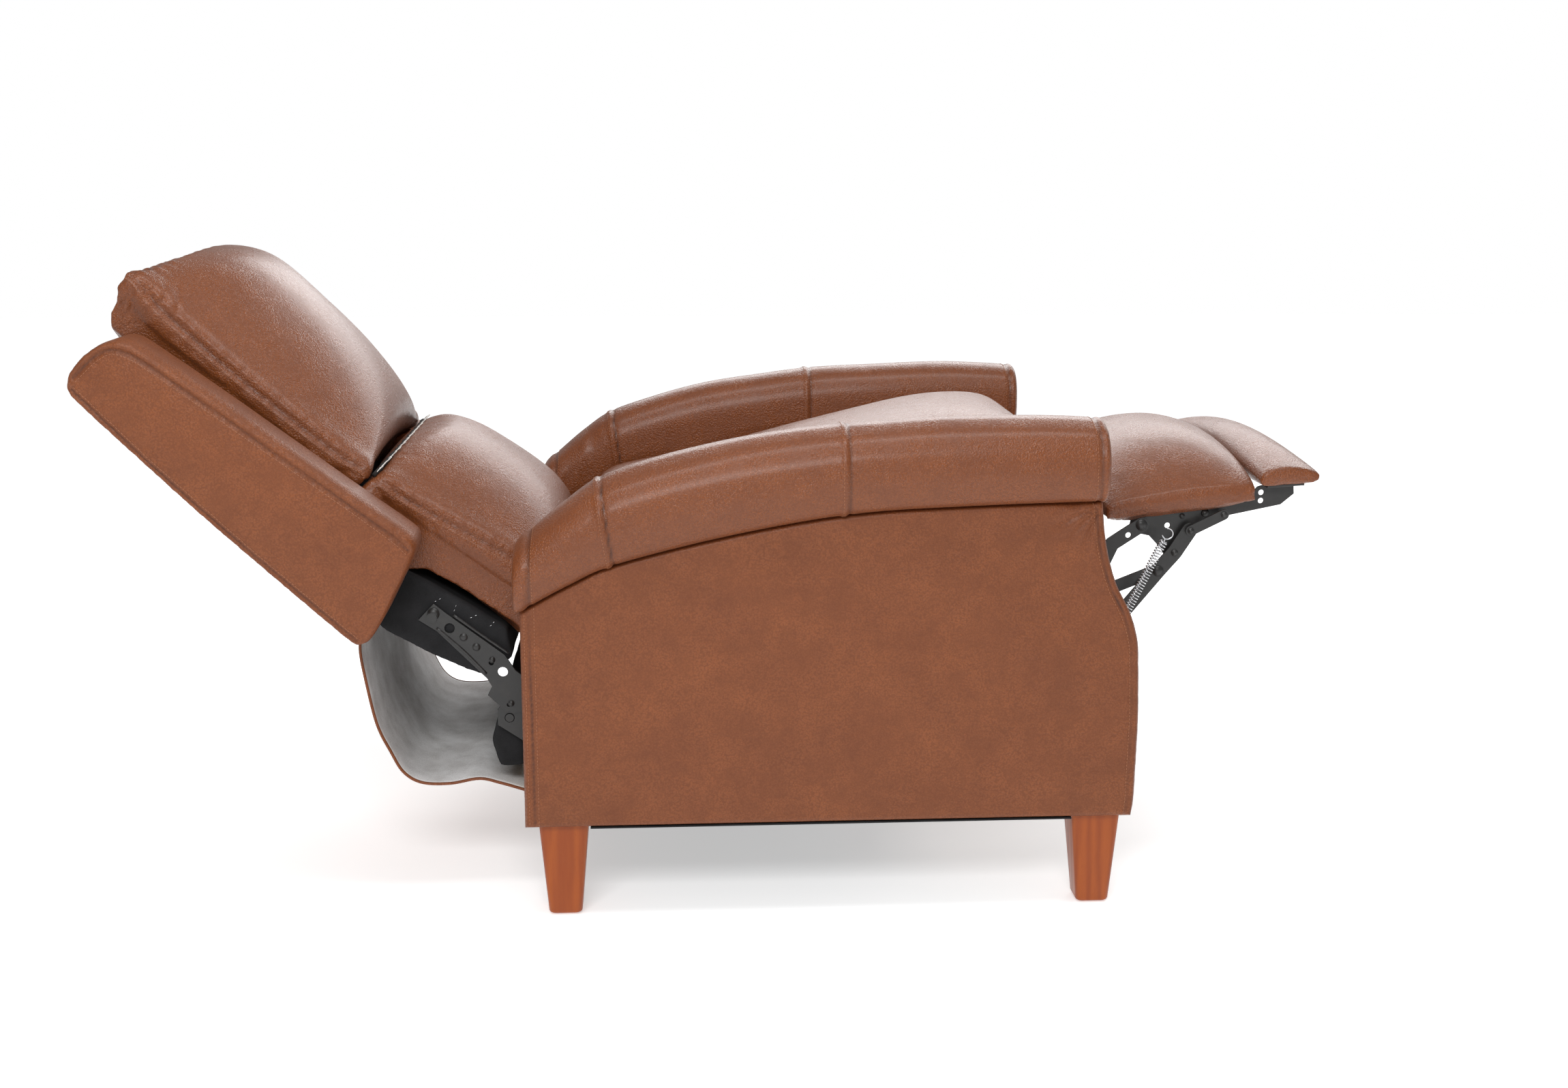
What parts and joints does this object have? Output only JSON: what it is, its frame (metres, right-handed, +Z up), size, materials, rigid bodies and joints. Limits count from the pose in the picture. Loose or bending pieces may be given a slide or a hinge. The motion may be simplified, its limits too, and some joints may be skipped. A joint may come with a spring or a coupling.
{
  "type": "recliner armchair",
  "caption": "Reclining leather armchair shown fully laid back, with the footrest and its flip-out extension raised on a black steel scissor mechanism.",
  "frame": {"origin": "centre of the bounding box at floor level", "axes": "+X towards the sitter's feet, +Y to the sitter's left, +Z up"},
  "size_m": [1.6326, 0.77, 0.8746],
  "materials": {
    "leather": "pebbled, soft sheen",
    "suede": "brushed, matte",
    "leg_wood": "stained, gloss varnish",
    "frame_wood": "bare, matte",
    "black_steel": "satin black coating",
    "zinc_wire": "bright zinc plating",
    "cambric": "thin non-woven, matte"
  },
  "bodies": {
    "base": {"side_panel_right": "leather", "side_panel_left": "leather", "arm_pad_right": "leather", "arm_pad_left": "leather", "leg_rear_right": "leg_wood", "leg_rear_left": "leg_wood", "leg_front_right": "leg_wood", "leg_front_left": "leg_wood", "front_rail": "frame_wood", "rear_sill": "frame_wood", "rear_rail": "black_steel", "dust_cover": "cambric", "panel_underlining_right": "cambric", "panel_underlining_left": "cambric", "base_plate_right": "black_steel", "base_plate_left": "black_steel", "rear_skirt": "suede"},
    "seat": {"seat_rail_front": "frame_wood", "seat_rail_rear": "frame_wood", "seat_rail_left": "frame_wood", "seat_rail_right": "frame_wood", "seat_spring_1": "zinc_wire", "seat_spring_2": "zinc_wire", "seat_spring_3": "zinc_wire", "seat_spring_4": "zinc_wire", "seat_plate_right": "black_steel", "seat_plate_left": "black_steel", "cross_tube": "black_steel", "seat_cushion": "leather", "seat_rear_gusset": "leather"},
    "back": {"wing_right": "leather", "wing_left": "leather", "back_frame": "cambric", "outside_back": "leather", "back_cushion_upper": "leather", "back_cushion_lumbar": "leather", "back_bracket_right": "black_steel", "back_bracket_left": "black_steel", "bracket_screw_right": "black_steel", "bracket_screw_left": "black_steel"},
    "drive_links": {"drive_link_right": "black_steel", "drive_link_left": "black_steel"},
    "lift_links": {"lift_link_right": "black_steel", "lift_link_left": "black_steel", "tension_spring_right": "zinc_wire", "tension_spring_left": "zinc_wire"},
    "rear_links": {"rear_link_right": "black_steel", "rear_link_left": "black_steel"},
    "stay_links": {"stay_link_right": "black_steel", "stay_link_left": "black_steel"},
    "control_links": {"control_link_right": "black_steel", "control_link_left": "black_steel"},
    "ottoman": {"ottoman_plate_right": "black_steel", "ottoman_plate_left": "black_steel", "footrest_board": "frame_wood", "footrest_pad": "leather"},
    "flipper": {"flip_bracket_right": "black_steel", "flip_bracket_left": "black_steel", "extension_board": "frame_wood", "extension_pad": "leather"}
  },
  "joints": [
    {"name": "back_recline", "type": "hinge", "parent": "base", "child": "back", "pos_m": [-0.261, 0, 0.28], "axis": [0, 1, 0], "range_deg": [0, 34], "deforming": ["rear_skirt", "seat_rear_gusset"]},
    {"name": "seat_tilt", "type": "hinge", "parent": "base", "child": "seat", "pos_m": [-0.291, 0, 0.25], "axis": [0, 1, 0], "range_deg": [0, 9]},
    {"name": "footrest_fold", "type": "hinge", "parent": "seat", "child": "drive_links", "pos_m": [0.39436, 0, 0.44709], "axis": [0, 1, 0], "range_deg": [0, 122.18], "deforming": ["tension_spring_right", "tension_spring_left"]},
    {"name": "lift_link_turn", "type": "hinge", "parent": "drive_links", "child": "lift_links", "pos_m": [0.517, 0, 0.336], "axis": [0, 1, 0], "range_deg": [-76.71, 0]},
    {"name": "rear_link_turn", "type": "hinge", "parent": "drive_links", "child": "rear_links", "pos_m": [0.4809, 0, 0.36055], "axis": [0, 1, 0], "range_deg": [-80.84, 0]},
    {"name": "stay_link_turn", "type": "hinge", "parent": "lift_links", "child": "stay_links", "pos_m": [0.601, 0, 0.439], "axis": [0, 1, 0], "range_deg": [-28.99, 0]},
    {"name": "control_link_turn", "type": "hinge", "parent": "lift_links", "child": "control_links", "pos_m": [0.643, 0, 0.496], "axis": [0, 1, 0], "range_deg": [0, 75.33]},
    {"name": "ottoman_turn", "type": "hinge", "parent": "lift_links", "child": "ottoman", "pos_m": [0.623, 0, 0.4645], "axis": [0, 1, 0], "range_deg": [0, 43.22]},
    {"name": "extension_flip", "type": "hinge", "parent": "ottoman", "child": "flipper", "pos_m": [0.666, 0, 0.518], "axis": [0, 1, 0], "range_deg": [0, 90]}
  ],
  "couplings": [
    {"joint": "seat_tilt", "follows": "back_recline", "ratio": 0.2647},
    {"joint": "lift_link_turn", "follows": "footrest_fold", "ratio": -0.6278},
    {"joint": "rear_link_turn", "follows": "footrest_fold", "ratio": -0.6616},
    {"joint": "stay_link_turn", "follows": "footrest_fold", "ratio": -0.2372},
    {"joint": "control_link_turn", "follows": "footrest_fold", "ratio": 0.6165},
    {"joint": "ottoman_turn", "follows": "footrest_fold", "ratio": 0.3537},
    {"joint": "extension_flip", "follows": "footrest_fold", "ratio": 0.7366}
  ]
}
